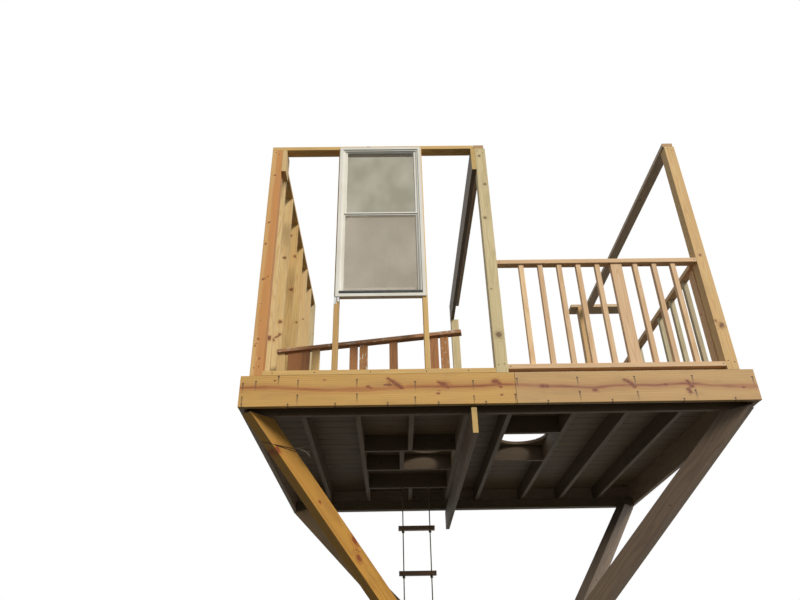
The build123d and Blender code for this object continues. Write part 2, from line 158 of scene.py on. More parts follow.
def add_floor():
    """Plain pale floor below the house. It is shown pale, but throws little light up under the house."""
    rings, spokes, reach = 24, 48, 26.0
    radius = reach * (np.arange(rings + 1) / rings)[:, None] ** 1.5
    angle = whole_turn(spokes)
    level = np.full((rings + 1, spokes), place((0, 0, FLOOR_Z))[2])
    points = np.stack([radius * np.cos(angle), radius * np.sin(angle), level], -1)
    material = bpy.data.materials.new("pale_floor_paint")
    add = node_adder(material)
    where = add("TexCoord", output="Object")
    mottle = add("TexNoise", {"Vector": where, "Scale": 1.5, "Detail": 2.0})
    paints = {0: mottle, 6: "#E9E8E4", 7: "#F1F0EC"}
    bright = add("BsdfDiffuse", [add("Mix", paints, 2, data_type="RGBA")])
    dim = add("BsdfDiffuse", ["#464C50"])
    shown = add("MixShader", [seen_directly(add), dim, bright])
    add("OutputMaterial", [shown])
    floor = add_mesh("floor", points.reshape(-1, 3), [grid_faces(rings + 1, spokes)], material)


# Meshes


def whole_turn(count):
    """Angles round a circle, the last one short of the first by a step."""
    return np.linspace(0, 2 * np.pi, count, endpoint=False)


def directions_round(axes, turns):
    """For each axis, unit vectors round it: cos t·u + sin t·v, with u and v square to the axis."""
    u = np.cross(axes, np.where(np.abs(axes[:, 2:]) > 0.7, X, Z))
    u /= np.linalg.norm(u, axis=1, keepdims=True)
    angle = whole_turn(turns)[:, None]
    return np.cos(angle) * u[:, None] + np.sin(angle) * np.cross(axes, u)[:, None]


def grid_faces(rows, columns, closed=True):
    """Quads between neighbouring rows of a grid of points, closed across its columns."""
    row = np.arange(rows - 1)[:, None] * columns
    here = np.arange(columns if closed else columns - 1)[None, :]
    after = (here + 1) % columns
    quads = [row + here, row + after, row + columns + after, row + columns + here]
    return np.stack(quads, -1).reshape(-1, 4)


def add_mesh(name, points, faces, material, attributes=None, smooth=False):
    """Mesh object from a point array, face arrays and per-point attributes.

    smooth is one flag per face, or one for all.
    """
    corners = np.concatenate([f.ravel() for f in faces]).astype(np.int32)
    sides = np.concatenate([np.full(len(f), f.shape[1]) for f in faces])
    starts = np.concatenate([[0], np.cumsum(sides)[:-1]]).astype(np.int32)
    mesh = bpy.data.meshes.new(name)
    mesh.vertices.add(len(points))
    mesh.vertices.foreach_set("co", np.asarray(points, np.float32).ravel())
    mesh.loops.add(len(corners))
    mesh.loops.foreach_set("vertex_index", corners)
    mesh.polygons.add(len(sides))
    mesh.polygons.foreach_set("loop_start", starts)
    mesh.polygons.foreach_set("use_smooth", np.broadcast_to(smooth, len(sides)).copy())
    for key, values in (attributes or {}).items():
        kind, field = ("FLOAT_VECTOR", "vector") if np.ndim(values) == 2 else ("FLOAT", "value")
        layer = mesh.attributes.new(key, kind, "POINT")
        layer.data.foreach_set(field, np.asarray(values, np.float32).ravel())
    mesh.update(calc_edges=True)
    mesh.validate()
    mesh.materials.append(material)
    return add_object(name, mesh)


def joined(parts):
    """Points and face arrays of several parts, as those of one mesh."""
    faces, before = [], 0
    for points, arrays in parts:
        faces += [array + before for array in arrays]
        before += len(points)
    return np.concatenate([points for points, _ in parts]), faces


def prism(outlines):
    """Points and face arrays of the closed form between two like outlines."""
    count = len(outlines[0])
    ends = np.arange(count)[None, :], np.arange(count, 2 * count)[None, ::-1]
    return np.concatenate(outlines), [grid_faces(2, count)[:, ::-1], *ends]


def belongs(piece, slot, *nodes):
    """Puts a piece on the house and lets it stand for CAD nodes, whose CAD parts it hides. slot is not used.
    """
    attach(piece, "root")
    if nodes:
        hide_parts(*nodes)
    return piece


def add_parts(name, parts, material, slot, *nodes, smooth=False):
    """One piece of several parts, each its points and a list of face arrays."""
    return belongs(add_mesh(name, *joined(parts), material, smooth=smooth), slot, *nodes)


def solids_of(node):
    """The points of each solid in a CAD node: triangles that share a point belong together."""
    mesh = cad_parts[node].data
    points = np.zeros(len(mesh.vertices) * 3)
    mesh.vertices.foreach_get("co", points)
    points = points.reshape(-1, 3)
    corners = np.zeros(len(mesh.loops), np.int64)
    mesh.loops.foreach_get("vertex_index", corners)
    _, first, same = np.unique(np.round(points, 5), axis=0, return_index=True, return_inverse=True)
    unique = points[first]
    triangles = same.ravel()[corners].reshape(-1, 3)
    label = np.arange(len(unique))
    while True:
        lowest = label[triangles].min(1)
        before = label.copy()
        for corner in range(3):
            np.minimum.at(label, triangles[:, corner], lowest)
        label = label[label]
        if (label == before).all():
            break
    return [unique[label == which] for which in np.unique(label[triangles])]


# Sawn boards

# What each point of a board carries: vectors, and single numbers
BOARD_VECTORS, BOARD_NUMBERS = ("grain", "knot", "nail", "board"), ("streak", "end")
# The distance that a point carries where its board has no such mark
FAR = 9.0
# How many of its own radii away a mark fades out, and how steeply
FADE_FROM, FADE_RATE = 2.2, 4.0
KNOTS_PER_METRE = 1.3


def section(low, high, eases, step):
    """Outline of a board's section, and which points lie in its eased corners.

    It runs anticlockwise: each side in an odd number of equal steps, so that no point lies
    halfway up a side, and at each eased corner one more point, halfway round a quarter circle.
    """
    corners = np.array([(low[0], low[1]), (high[0], low[1]), (high[0], high[1]), (low[0], high[1])])
    radii = np.array([eases[0], eases[1], eases[1], eases[0]])
    points, rounded = [], []
    for here, there, before, after in zip(corners, np.roll(corners, -1, 0), radii, np.roll(radii, -1)):
        along = (there - here) / np.linalg.norm(there - here)
        start, end = here + along * before, there - along * after
        count = int(math.ceil(np.linalg.norm(end - start) / step)) | 1
        side = start + (end - start) * np.linspace(0, 1, count + 1)[:, None]
        if not after:
            side = side[:-1]
        points += list(side)
        rounded += [False] * len(side)
        if after:
            inward = np.array([-along[1], along[0]]) - along
            points.append(there + inward * after * (1 - math.sqrt(0.5)))
            rounded.append(True)
    return np.array(points), np.array(rounded)


def marks_at(axes, places, drawn=1.0):
    """Rows of along, across, radius along and radius across, for places of x, y, z and radius.

    drawn is how much longer than wide the marks are.
    """
    rows = [(*axes[:2] @ place(p[:3]), p[3] * MM * drawn, p[3] * MM) for p in places]
    return np.array(rows).reshape(-1, 4)


def nearest(along, across, marks, under=1.0, over=1.0):
    """Offset to the nearest mark in its own radii, with a third part that grows far from every mark.

    The third part keeps a mark from showing halfway between two others, where the offset
    changes its sign. under and over weigh the distance on a mark's lower and upper side, to
    leave room for what runs down.
    """
    if not len(marks):
        return np.full((len(along), 3), FAR)
    offset = (np.stack([along, across], -1)[:, None] - marks[:, :2]) / marks[:, 2:]
    weight = np.where(offset[..., 1] < 0, under, over)
    reach = np.hypot(offset[..., 0], offset[..., 1] * weight)
    which = reach.argmin(1)
    best = offset[np.arange(len(along)), which]
    return np.column_stack([best, np.maximum(0.0, reach.min(1) - FADE_FROM) * FADE_RATE])


def timber(axes, low, high, spec, starts=None, ends=None, eases=(3.0, 3.0)):
    """One sawn board: its section carried along its length.

    P(s, t) = s·long + a(t)·wide + b(t)·thick, with s between a start and an end that may
    differ round the section, where the cut isn't square. Strips from the under edge to the
    upper edge close both ends, so that they follow a round cut. Each point also carries where
    it lies in the log (along it, and across it from the pith), its knots and its nails.
    """
    step = spec.get("step", 0.03)
    outline, rounded = section(low[1:], high[1:], np.array(eases) * MM, step)
    a, b = outline.T
    first = np.full(len(a), low[0]) if starts is None else starts(a, b)
    last = np.full(len(a), high[0]) if ends is None else ends(a, b)
    rows = max(2, int(math.ceil((high[0] - low[0]) / spec.get("row_step", step * 1.5))) + 1)
    share = np.linspace(0, 1, rows)[:, None]
    s = first * (1 - share) + last * share
    s = np.concatenate([s, s[[0, -1]]])
    a, b = np.broadcast_to(a, s.shape), np.broadcast_to(b, s.shape)
    points = s[..., None] * axes[0] + a[..., None] * axes[1] + b[..., None] * axes[2]
    count = len(outline)
    sides = grid_faces(rows, count)
    over = int(np.abs(outline - (outline[0, 0], high[2])).sum(1).argmin())
    under = np.arange(math.ceil((over - count) / 2), over // 2 + 1)
    strips = np.stack([under[:-1], under[1:], over - under[1:], over - under[:-1]], -1) % count
    caps = [strips[:, ::-1] + rows * count, strips + (rows + 1) * count]
    soft = np.tile(rounded | np.roll(rounded, -1), rows - 1)
    if np.linalg.det(axes) < 0:
        sides = sides[:, ::-1]
        caps = [cap[:, ::-1] for cap in caps]
    wide, thick = high[1] - low[1], high[2] - low[2]
    if "pith" in spec:
        pith = np.array(spec["pith"]) * MM
    else:
        side = RNG.choice((-1, 1))
        beside = RNG.uniform(0.2, 0.8), RNG.uniform(0.015, 0.06)
        pith = np.array([wide * beside[0], thick / 2 + side * (thick / 2 + beside[1])])
    if "knots" in spec:
        knots = marks_at(axes, spec["knots"], spec.get("drawn", 1.0))
    else:
        number = RNG.poisson((high[0] - low[0]) * KNOTS_PER_METRE)
        radii = RNG.uniform(4.0, max(4.5, min(12.0, wide * 160)), number) * MM
        spots = [(RNG.uniform(low[0], high[0]), RNG.uniform(low[1], high[1])) for _ in radii]
        knots = np.column_stack([np.array(spots).reshape(-1, 2), radii * 1.2, radii])
    nails = marks_at(axes, spec.get("nails", ()))
    flat_s, flat_a, flat_b = s.ravel(), a.ravel(), b.ravel()
    ending = np.zeros(s.shape)
    ending[-2:] = 1.0
    streak = np.full(len(flat_s), FAR)
    if "streak" in spec:
        line = place([(x, 0.0, z) for x, z in spec["streak"]])
        streak = flat_a - np.interp(flat_s, line @ axes[0], line @ axes[1])
    look = (spec.get("tone", RNG.uniform(0, 1)), spec.get("fade", 0.0), spec.get("bare_and_lit", 0.0))
    look = np.tile(look, (*s.shape, 1))
    # The last two rows close the start and the end. On a beam in the dark joist colours, the start's cap is
    # painted pale as the lit end, against the painted shade of its other faces
    if spec.get("lit_end_pale"):
        look[-2] = (0.8, 0.0, 1.0)
        ending[-2] = 0.0
    return {
        "points": points.reshape(-1, 3),
        "faces": [sides, *caps],
        "smooth": np.concatenate([soft, np.zeros(2 * len(strips), bool)]),
        "grain": np.column_stack([flat_s, flat_a, flat_b]) - low + (RNG.uniform(0, 40), *-pith),
        "knot": nearest(flat_s, flat_a, knots),
        "nail": nearest(flat_s, flat_a, nails, 0.25, 3.0),
        "streak": streak,
        "board": look.reshape(-1, 3),
        "end": ending.ravel(),
    }


def add_boards(name, boards, material):
    """One piece of several boards."""
    parts = [(b["points"], b["faces"]) for b in boards]
    carried = {key: np.concatenate([b[key] for b in boards]) for key in BOARD_VECTORS + BOARD_NUMBERS}
    return add_mesh(name, *joined(parts), material, carried, np.concatenate([b["smooth"] for b in boards]))


def square_axes(points):
    """Long, wide and thick directions of a board that lies along the frame's axes."""
    size = np.ptp(points, axis=0)
    long = int(size.argmax())
    others = [i for i in range(3) if i != long]
    wide = others[0] if size[others[0]] >= size[others[1]] - 1e-4 else others[1]
    thick = [i for i in others if i != wide][0]
    return np.eye(3)[[long, wide, thick]]


def brace_axes(corner, hole, drop):
    """The same for a knee brace: long runs down from the corner to below the hole, thick lies level."""
    heading = np.array([hole[0] - corner[0], hole[1] - corner[1], 0.0])
    heading /= np.linalg.norm(heading)
    foot = np.array([*hole, -drop]) - heading * FOOT_RADIUS
    long = foot - np.array([*corner, CROSS_BEAM_BOTTOM])
    long /= np.linalg.norm(long)
    thick = np.cross(heading, Z)
    return np.array([long, np.cross(thick, long), thick])


def slanted_cuts(points, axes):
    """A brace's two ends: the section's lines stop where they meet its level top and its plumb foot."""
    heading = axes[0] * (1, 1, 0) / np.linalg.norm(axes[0][:2])
    top, foot = points[:, 2].max(), (points @ heading).max()

    def level(a, b):
        return (top - a * axes[1][2] - b * axes[2][2]) / axes[0][2]

    def plumb(a, b):
        across = a * (axes[1] @ heading) + b * (axes[2] @ heading)
        return (foot - across) / (axes[0] @ heading)

    return level, plumb


def boards_from(node, spec):
    """Boards in the place of a CAD node's solids."""
    made = []
    each = spec.get("each", ())
    for number, points in enumerate(solids_of(node)):
        own = {**spec, **(each[number] if number < len(each) else {})}
        axes = spec["axes"] if "axes" in spec else square_axes(points)
        cuts = slanted_cuts(points, axes) if node.startswith("brace") else (None, None)
        along = points @ axes.T
        made.append(timber(axes, along.min(0), along.max(0), own, *cuts))
    return made


# Materials


def wood(name, colours, ring, dirt, rough=0.68, heart_radius=0.0, bare_and_lit="", paint=""):
    """Sawn softwood: growth rings cut through by the board's faces, fibre, heartwood, knots and nail stains.

    colours are those of sapwood, late wood, heartwood and knots. ring is the distance in mm
    between two dark late-wood lines. Real ones lie 3 to 5 mm apart, too close to show from
    where the house is seen, so they are drawn wider. dirt is how much dust can cover.
    heart_radius, in mm, is how far the redder heart reaches from the pith. bare_and_lit is the
    colour of boards that never had the others' stain, and the pale colour painted on a lit cut end
    where the rest of the board carries painted shade, and paint the colour of
    what is left of a coat of paint on the boards of the palest tones.
    """
    sap, late, heart, knot = colours.split()
    material = bpy.data.materials.new(name)
    add = node_adder(material)
    soft = {"interpolation_type": "SMOOTHSTEP"}
    layer = {"output": 2, "data_type": "RGBA"}
    read = {key: add("Attribute", output="Vector", attribute_name=key) for key in BOARD_VECTORS}
    streak, end = (add("Attribute", output="Fac", attribute_name=key) for key in BOARD_NUMBERS)
    grain, nails = read["grain"], read["nail"]
    board, fade, bare_and_lit_share = (add("SeparateXYZ", [read["board"]], axis) for axis in "XYZ")

    # Noises drawn out along the board: slow sway, fibre, broad tone, drying checks and blotches
    noises = {}
    for key, stretch, detail in (
        ("sway", (0.9, 6.3, 6.3), 3.0),
        ("fibre", (4.0, 240.0, 240.0), 3.0),
        ("broad", (0.8, 9.0, 9.0), 2.0),
        ("checks", (1.6, 70.0, 70.0), 1.0),
        ("blotch", (4.4, 12.0, 12.0), 4.0),
    ):
        drawn = add("VectorMath MULTIPLY", [grain, stretch])
        noises[key] = add("TexNoise", {"Vector": drawn, "Scale": 1.0, "Detail": detail})
    near = add("VectorMath LENGTH", [read["knot"]], "Value")
    uneven = add("TexNoise", {"Vector": grain, "Scale": 34.0, "Detail": 2.0})
    uneven = add("MapRange", [uneven, 0.25, 0.75, -0.35, 0.35])
    near = add("Math ADD", [near, uneven])

    # Rings: distance from the pith, swaying along the log and pushed aside round a knot
    across = add("VectorMath MULTIPLY", [grain, (0.0, 1.0, 1.0)])
    radius = add("VectorMath LENGTH", [across], "Value")
    sway = add("MapRange", [noises["sway"], 0.25, 0.75, -0.020, 0.020])
    pushed = add("MapRange", [near, 0.7, 3.0, 0.016, 0.0], **soft)
    radius = add("Math ADD", [radius, sway])
    radius = add("Math ADD", [radius, pushed])
    phase = add("Math MULTIPLY", [radius, 2 * math.pi / (ring * MM)])
    wave = add("Math SINE", [phase])
    rings = add("MapRange", [wave, -0.1, 1.0], **soft)

    # Layers of colour, each with the share of what lies under it that it covers
    layers = [(add("MapRange", [noises["broad"], 0.3, 0.7, 0.0, 0.45], **soft), late)]
    if heart_radius:
        reach = heart_radius * MM
        core = add("MapRange", [radius, reach * 0.8, reach * 1.15, 0.85, 0.0], **soft)
        layers.append((core, heart))
    layers.append((add("Math MULTIPLY", [rings, 0.55]), late))
    # The heart shows as a reddish band with a wider blush, and the pith as a thin dark line in parts
    beside = add("Math ABSOLUTE", [streak])
    waver = add("MapRange", [noises["blotch"], 0.3, 0.7, -0.006, 0.006])
    beside = add("Math ADD", [beside, waver])
    band = add("MapRange", [beside, 0.009, 0.02, 0.68, 0.0], **soft)
    blush = add("MapRange", [beside, 0.018, 0.052, 0.26, 0.0], **soft)
    line = add("MapRange", [beside, 0.001, 0.006, 0.8, 0.0], **soft)
    there = add("MapRange", [noises["broad"], 0.42, 0.55], **soft)
    layers.append((add("Math MAXIMUM", [band, blush]), heart))
    layers.append((add("Math MULTIPLY", [line, there]), knot))
    # Boards that were never stained, and cut ends painted pale as lit ends against painted shade
    if bare_and_lit:
        layers.append((add("Math MULTIPLY", [bare_and_lit_share, 0.85]), bare_and_lit))
    if paint:
        drawn = add("VectorMath MULTIPLY", [grain, (24.0, 60.0, 60.0)])
        left = add("TexNoise", {"Vector": drawn, "Scale": 1.0, "Detail": 3.0})
        flakes = add("MapRange", [left, 0.6, 0.64], **soft)
        painted = add("MapRange", [board, 0.75, 0.9], **soft)
        layers.append((add("Math MULTIPLY", [flakes, painted]), paint))
    colour = sap
    for share, tint in layers:
        colour = add("Mix", {0: share, 6: colour, 7: tint}, **layer)
    threads = add("MapRange", [noises["fibre"], 0.3, 0.7, 0.88, 1.06])
    colour = add("Mix", {0: 1.0, 6: colour, 7: threads}, **layer, blend_type="MULTIPLY")

    # A check is a fine dark line along the fibre where the drying board has opened
    middle = add("Math SUBTRACT", [noises["checks"], 0.5])
    middle = add("Math ABSOLUTE", [middle])
    opened = add("MapRange", [middle, 0.0, 0.006, 1.0, 0.0], **soft)
    somewhere = add("MapRange", [noises["blotch"], 0.5, 0.62], **soft)
    split = add("Math MULTIPLY", [opened, somewhere])
    split_share = add("Math MULTIPLY", [split, 0.35])

    # A knot has a brown eye with rings of its own and a reddish halo in the wood round it
    halo = add("MapRange", [near, 0.9, 2.0, 0.5, 0.0], **soft)
    turns = add("Math MULTIPLY", [near, 11.0])
    turns = add("Math SINE", [turns])
    eye = add("MapRange", [turns, -1.0, 1.0, 0.8, 1.2])
    eye_colour = add("Mix", {0: 1.0, 6: knot, 7: eye}, **layer, blend_type="MULTIPLY")
    inside = add("MapRange", [near, 0.55, 1.1, 0.9, 0.0], **soft)

    # A nail's head has stained the wood round it, and let a fainter streak run down below it
    aside, upward, far = (add("SeparateXYZ", [nails], axis) for axis in "XYZ")
    sideways = add("Math ABSOLUTE", [aside])
    sideways = add("Math ADD", [sideways, far])
    narrow = add("MapRange", [sideways, 0.15, 0.85, 0.75, 0.0], **soft)
    below = add("MapRange", [upward, -8.0, -2.0])
    above = add("MapRange", [upward, 0.0, 0.6, 1.0, 0.0], **soft)
    stain = add("Math MULTIPLY", [narrow, below])
    stain = add("Math MULTIPLY", [stain, above])
    beyond = add("VectorMath LENGTH", [nails], "Value")
    round_stain = add("MapRange", [beyond, 0.5, 1.1, 0.8, 0.0], **soft)
    stain = add("Math MAXIMUM", [stain, round_stain])

    # Over all that, dust and rain marks, then the boards' own tones, which on some plates and beams are set
    # darker and greyer as painted shade, and the darker, thirstier end grain
    dusty = add("MapRange", [noises["blotch"], 0.5, 0.75, 0.0, dirt], **soft)
    for share, tint in (
        (split_share, "#5A3A20"), (halo, heart), (inside, eye_colour), (stain, "#553F30"), (dusty, "#6E5F4A")
    ):
        colour = add("Mix", {0: share, 6: colour, 7: tint}, **layer)
    tone = add("MapRange", [board, 0.0, 1.0, 0.86, 1.1])
    hue = add("MapRange", [board, 0.0, 1.0, 0.497, 0.504])
    kept = add("Math SUBTRACT", [1.0, fade])
    settings = {"Hue": hue, "Saturation": kept, "Value": tone, "Color": colour}
    colour = add("HueSaturation", settings)
    dark_rings = add("Math MULTIPLY", [rings, 0.6])
    end_colour = add("Mix", {0: dark_rings, 6: late, 7: knot}, **layer)
    end_share = add("Math MULTIPLY", [end, 0.75])
    colour = add("Mix", {0: end_share, 6: colour, 7: end_colour}, **layer)

    height = add("Math MULTIPLY_ADD", [rings, 0.35, noises["fibre"]])
    height = add("Math MULTIPLY_ADD", [split, -0.8, height])
    height = add("Math MULTIPLY_ADD", [inside, 0.4, height])
    bump = add("Bump", {"Strength": 0.35, "Distance": 0.0015, "Height": height})
    dull = add("MapRange", [noises["fibre"], 0.3, 0.7, rough - 0.08, rough + 0.1])
    surface = {"Base Color": colour, "Roughness": dull, "Normal": bump}
    add("OutputMaterial", [add("BsdfPrincipled", surface)])
    return material


def plain_surface(
    name, colour, shade, scale, rough, bump=0.0, stretch=(1.0, 1.0, 1.0), detail=4.0, depth=1.0, **sockets
):
    """A surface of one stuff: two near colours in a noise of the given size, and a bump from that noise.

    rough is one roughness, or the lowest and the highest. depth is the bump's, in mm.
    """
    material = bpy.data.materials.new(name)
    add = node_adder(material)
    where = add("TexCoord", output="Object")
    drawn = add("VectorMath MULTIPLY", [where, stretch])
    grit = add("TexNoise", {"Vector": drawn, "Scale": scale, "Detail": detail})
    share = add("MapRange", [grit, 0.35, 0.65])
    mixed = add("Mix", {0: share, 6: colour, 7: shade}, 2, data_type="RGBA")
    spread = add("MapRange", {0: grit, 3: np.min(rough), 4: np.max(rough)})
    raised = add("Bump", {"Strength": bump, "Distance": depth * MM, "Height": grit})
    surface = {"Base Color": mixed, "Roughness": spread, "Normal": raised, **sockets}
    add("OutputMaterial", [add("BsdfPrincipled", surface)])
    return material


# Pressure-treated pine of the rims, planed and then rained on: honey brown with fine lines, so that
# the front face reads as one long sawn board with a red heart
RIM = wood("treated_pine_rim", "#D4A660 #B98A48 #A2582C #7A4028", 12.0, 0.15)
# The same pine under the floor, planed and dusty: its colours are painted dark brown as painted shade under
# the floor, so the framing stays quiet; its pale colour goes on lit cut ends
JOIST = wood("treated_pine_joist", "#5F4C32 #493923 #453220 #2A1E17", 10.0, 0.3, bare_and_lit="#D2AC68")
# Decking boards of treated pine, planed and walked on: grey brown, painted darker as painted shade of the
# underside, each board a little off its neighbour
DECK = wood("treated_pine_decking", "#6C583B #534128 #503A25 #2F2217", 10.0, 0.3)
# Pine of the front left brace, planed: golden, with red knots, it catches the low light
BRACE_GOLD = wood("pine_brace_golden", "#CB9440 #AD7730 #A85A24 #843A18", 14.0, 0.15)
# Pine of the other braces, planed and weathered: brown going to grey, and painted darker than the golden
# brace of the same wood, as painted shade of faces turned from the light
BRACE_BROWN = wood("pine_brace_brown", "#9A7648 #7C5A34 #6E4A2A #43281A", 14.0, 0.3)
# Fir of the left post, planed: an orange heart beside a pale strip of sapwood down one edge
POST_ORANGE = wood("fir_post_orange", "#E2B878 #C98E50 #CC884A #86502C", 9.0, 0.08, heart_radius=52.0)
# Whitewood of the right post, planed: light tan with grey brown knots
POST_TAN = wood("whitewood_post_tan", "#E3BD82 #CB9C5E #A97648 #6B4428", 9.0, 0.1)
# Freshly treated pine of the middle post, planed: the salts leave it green tan
POST_GREEN = wood("treated_post_green", "#DCC89A #BFAB7C #A88C60 #6A543A", 9.0, 0.18)
# Spruce studs, planed and new: pale yellow with small round brown knots
STUD = wood("spruce_stud", "#DEC08A #C89E66 #BE8650 #6B3A22", 9.0, 0.08)
# Spruce plates, planed: pale tan
PLATE = wood("spruce_plate", "#DDB878 #C0904E #B07A48 #6B4226", 9.0, 0.12)
# Cedar rails and pickets, planed: pale orange, the warmest of the light wood
RAIL = wood("cedar_rail", "#EEC99C #D6A876 #C08C5A #754A2E", 8.0, 0.08)
# Treated pine pickets of the side rail, sawn: greener and greyer than the front ones
PICKET = wood("treated_picket_green", "#C6B896 #A89A76 #947E5E #5E4A36", 8.0, 0.2)
# Old boards under a brushed red brown stain that has worn thin, two of them never stained
OLD = wood(
    "old_stained_board", "#B8804E #93623C #96603A #4A2C1B", 9.0, 0.2, 0.62,
    bare_and_lit="#E2C084", paint="#CFC8BC",
)
# Hardwood rungs, sawn and then polished brown by hands and feet
RUNG = wood("worn_rung_wood", "#7C5C3E #5E4430 #573C28 #35241A", 8.0, 0.4, 0.55)
# Unplasticised vinyl, extruded: warm white and satin, the palest thing on the house
VINYL = plain_surface("extruded_vinyl", "#ECE9DF", "#E2DDD0", 3.0, (0.34, 0.5), 0.05)
# Hot-dip galvanised steel: a fine spangle in grey that glints where the light falls on it
STEEL = plain_surface("galvanised_steel", "#A9A9A4", "#8C8D8A", 140.0, (0.34, 0.5), 0.2, Metallic=1.0)
# Drawn wire nails, gone dark in the wet wood: small dark dots
NAIL = plain_surface("rusted_nail_steel", "#4A3F38", "#33291F", 400.0, (0.52, 0.68), 0.3, Metallic=0.6)
# Laid sisal rope: dull, hairy, straw brown
ROPE = plain_surface("sisal_rope", "#9C8760", "#7A6846", 500.0, (0.82, 0.98), 0.5)
# Torn polyethylene tape, rolled film: clean white and a little shiny
TAPE = plain_surface("white_wrap_tape", "#F0F0EE", "#DEE2E4", 40.0, (0.42, 0.58), 0.2)
# Polypropylene string of slit film, dull and frayed by the sun
STRING = plain_surface("frayed_string", "#B4AB98", "#98907E", 300.0, (0.77, 0.93), 0.3)
# Float glass, drawn flat with a faint ripple: it passes most light, and mirrors more the flatter it is
# looked at. Its grey brown tint, mottled in broad patches, is painted darker than clear glass: a painted
# reflection of dark surroundings
GLASS = plain_surface(
    "float_glass", "#B2AD9A", "#98937F", 2.5, 0.02, 0.15, (1.6, 1.0, 1.1), 2.0, 2.0,
    **{"Transmission Weight": 1.0, "IOR": 1.45},
)
# Extruded rubber gasket of the sill: a dark line under the lower sash
GASKET = plain_surface("dark_gasket", "#4A4B4C", "#333436", 60.0, (0.62, 0.78), 0.1)

# The timber frame

# Knots that the photograph shows: x, y, z and radius in house millimetres
RIM_KNOTS = [
    (1046, 0, -36, 8), (1062, 0, -50, 11), (1082, 0, -62, 14), (1104, 0, -78, 16), (1126, 0, -96, 13),
    (1144, 0, -112, 9), (1024, 0, -84, 8), (1054, 0, -84, 10), (1439, 0, -84, 21), (1404, 0, -68, 9),
    (1468, 0, -110, 9), (1396, 0, -154, 8), (1803, 0, -70, 18), (1836, 0, -84, 8), (1841, 0, -113, 7),
    (1842, 0, -172, 7), (904, 0, -96, 10), (926, 0, -108, 7), (244, 0, -41, 6), (595, 0, -40, 7),
    (2137, 0, -108, 15), (2170, 0, -112, 10), (2501, 0, -145, 13), (2722, 0, -68, 11), (2746, 0, -84, 12),
    (2766, 0, -104, 11), (2783, 0, -124, 10), (3007, 0, -110, 9), (3164, 0, -82, 9), (3172, 0, -104, 10),
    (3190, 0, -128, 11), (3160, 0, -148, 10), (3170, 0, -170, 12), (3555, 0, -139, 9),
]
LEFT_POST_KNOTS = [
    (103, 0, 1859, 11), (90, 0, 1354, 9), (104, 0, 1365, 8), (82, 0, 1147, 11), (88, 0, 812, 12),
    (123, 0, 838, 10), (94, 0, 592, 10), (100, 0, 450, 7), (98, 0, 293, 12), (80, 0, 240, 8),
    (116, 0, 135, 13),
]
MIDDLE_POST_KNOTS = [
    (1851, 0, 2053, 12), (1874, 0, 1735, 13), (1846, 0, 1381, 14), (1862, 0, 304, 26),
    (1840, 0, 700, 8),
]
RIGHT_POST_KNOTS = [(3518, 0, 989, 13), (3526, 0, 357, 24), (3489, 0, 401, 8)]
STUD_KNOTS = [
    [(118, 0, 430, 22), (90, 0, 470, 12), (76, 0, 1710, 11)],
    [(115, 0, 1459, 16), (124, 0, 798, 20), (126, 0, 675, 16), (80, 0, 624, 16)],
    [(86, 0, 2000, 14), (140, 0, 1749, 16), (128, 0, 1369, 20), (100, 0, 560, 12)],
    [(132, 0, 1240, 12), (120, 0, 700, 16)],
    [(136, 0, 1500, 11), (128, 0, 420, 13)],
    [(130, 0, 900, 13)],
]
BRACE_KNOTS = [(245, 245, -468, 18), (766, 803, -980, 24), (794, 834, -1100, 20), (520, 545, -760, 9)]
UPPER_NAILS = [
    (270, -8), (409, -39), (824, -38), (1236, -60), (1646, -62), (1958, -48), (2388, -45), (2795, -45),
    (3207, -45),
]
LOWER_NAILS = [
    (410, -153), (826, -149), (1233, -179), (1645, -175), (1935, -170), (2390, -158), (2797, -160),
    (3209, -158),
]
FOOT_NAILS = [(x, -218) for x in (346, 676, 1041, 1396, 1726, 2160, 2610, 3114, 3475)]
END_NAILS = [(22, -60), (24, -160), (26, -212), (3636, -60), (112, -42)]
# A nail's stain reaches some 10 mm
RIM_NAILS = [(x, 0.0, z, 10) for x, z in UPPER_NAILS + LOWER_NAILS + FOOT_NAILS + END_NAILS]
# The middle of the red band of heartwood along the rim's face: x and z in house millimetres
HEART_LINE = [
    (0, -91), (217, -92), (355, -101), (612, -118), (781, -114), (950, -113), (1106, -108),
    (1194, -101), (1332, -103), (1471, -105), (1610, -104), (1751, -98), (1856, -93), (1956, -95),
    (2137, -108), (2337, -117), (2495, -128), (2643, -112), (2791, -111), (2941, -114), (3133, -105),
    (3233, -110), (3322, -122), (3560, -130), (3658, -134),
]

